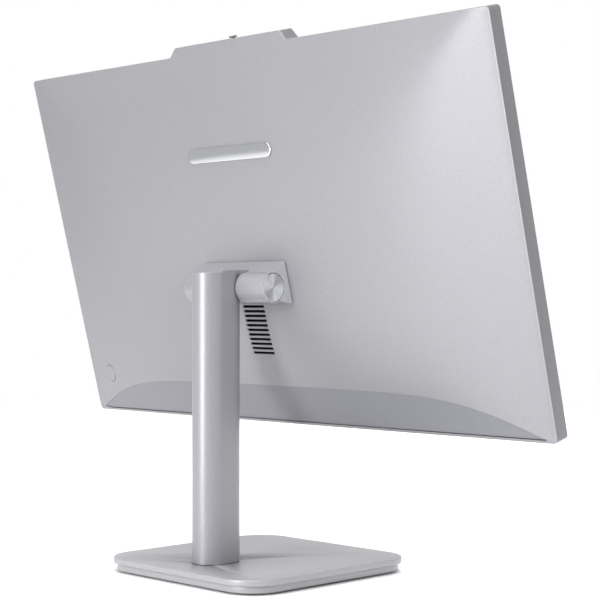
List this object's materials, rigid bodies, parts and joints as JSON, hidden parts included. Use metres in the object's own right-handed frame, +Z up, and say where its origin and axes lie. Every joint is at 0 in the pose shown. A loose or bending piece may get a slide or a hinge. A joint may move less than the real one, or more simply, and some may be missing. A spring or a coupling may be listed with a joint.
{
  "type": "all in one pc",
  "caption": "All-in-one desktop computer: a thin tilting display with a swelling rear shell, carried by a hinge block on a pill-shaped column over a square base.",
  "frame": {"origin": "on the desk under the centre of the square base", "axes": "+X to the right of someone looking at the screen, screen faces -Y and leans back, +Z up"},
  "size_m": [0.541, 0.1866, 0.44],
  "materials": {
    "painted_grey": "satin silver-grey paint",
    "painted_shell": "satin silver-grey paint over plastic",
    "frame_grey": "fine satin",
    "turned_aluminium": "turned, concentric fine grooves",
    "bright_metal": "polished",
    "aluminium": "mill finish",
    "zinc_casting": "as cast",
    "zinced_steel": "zinced",
    "lcd_body": "sheet metal and film sandwich",
    "copper": "drawn",
    "black_plastic": "fine texture",
    "rubber": "matt",
    "screen_glass": "dark, anti-glare",
    "dark_glass": "clear over black",
    "circuit_board": "solder mask"
  },
  "bodies": {
    "stand": {"base_top_plate": "painted_grey", "base_weight_plate": "painted_grey", "rubber_foot_1": "rubber", "rubber_foot_2": "rubber", "rubber_foot_3": "rubber", "rubber_foot_4": "rubber", "column_screw_1": "zinced_steel", "column_screw_2": "zinced_steel", "column_tube": "painted_grey", "column_foot": "zinc_casting", "hinge_head": "painted_grey", "hinge_axle": "zinced_steel", "friction_pack_left": "zinced_steel", "friction_pack_right": "zinced_steel"},
    "display": {"audio_socket": "black_plastic", "button_switch": "black_plastic", "camera_board": "circuit_board", "camera_lens": "dark_glass", "camera_window": "dark_glass", "chin_cover": "painted_shell", "cpu_cold_plate": "copper", "fan_housing": "black_plastic", "fin_stack": "aluminium", "front_bezel": "black_plastic", "hdmi_socket": "zinced_steel", "heat_pipe": "copper", "hinge_cap_left": "turned_aluminium", "hinge_cap_right": "turned_aluminium", "hinge_housing": "painted_grey", "io_board": "circuit_board", "lan_socket": "zinced_steel", "lcd_module": "lcd_body", "mainboard": "circuit_board", "memory_module": "circuit_board", "mid_plate": "zinced_steel", "mount_plate": "zinced_steel", "mount_screw_1": "zinced_steel", "mount_screw_2": "zinced_steel", "mount_screw_3": "zinced_steel", "mount_screw_4": "zinced_steel", "port_board": "circuit_board", "power_socket": "black_plastic", "rear_badge": "bright_metal", "rear_cover": "painted_shell", "screen_glass": "screen_glass", "side_frame": "frame_grey", "speaker_left": "black_plastic", "speaker_right": "black_plastic", "ssd_card": "circuit_board", "usb_a_socket_1": "zinced_steel", "usb_a_socket_2": "zinced_steel", "usb_c_socket": "zinced_steel", "vent_mesh": "black_plastic", "wifi_card": "circuit_board"},
    "power_button": {"power_button": "painted_shell"},
    "shutter": {"privacy_shutter": "frame_grey"},
    "fan": {"fan_rotor": "black_plastic"}
  },
  "joints": [
    {"name": "display_tilt", "type": "hinge", "parent": "stand", "child": "display", "pos_m": [0, 0.0269, 0.2337], "axis": [-1, 0, 0], "range_deg": [-19.5, 5.4]},
    {"name": "power_button_press", "type": "slide", "parent": "display", "child": "power_button", "axis": [-0.2119, -0.9444, 0.2515], "range_m": [0, 0.001], "stiffness_N_per_m": 900},
    {"name": "shutter_slide", "type": "slide", "parent": "display", "child": "shutter", "axis": [1, 0, 0], "range_m": [0, 0.008]},
    {"name": "fan_spin", "type": "hinge", "parent": "display", "child": "fan", "pos_m": [-0.052, -0.02097, 0.20295], "axis": [0, -0.9678, 0.2516], "continuous": true}
  ]
}
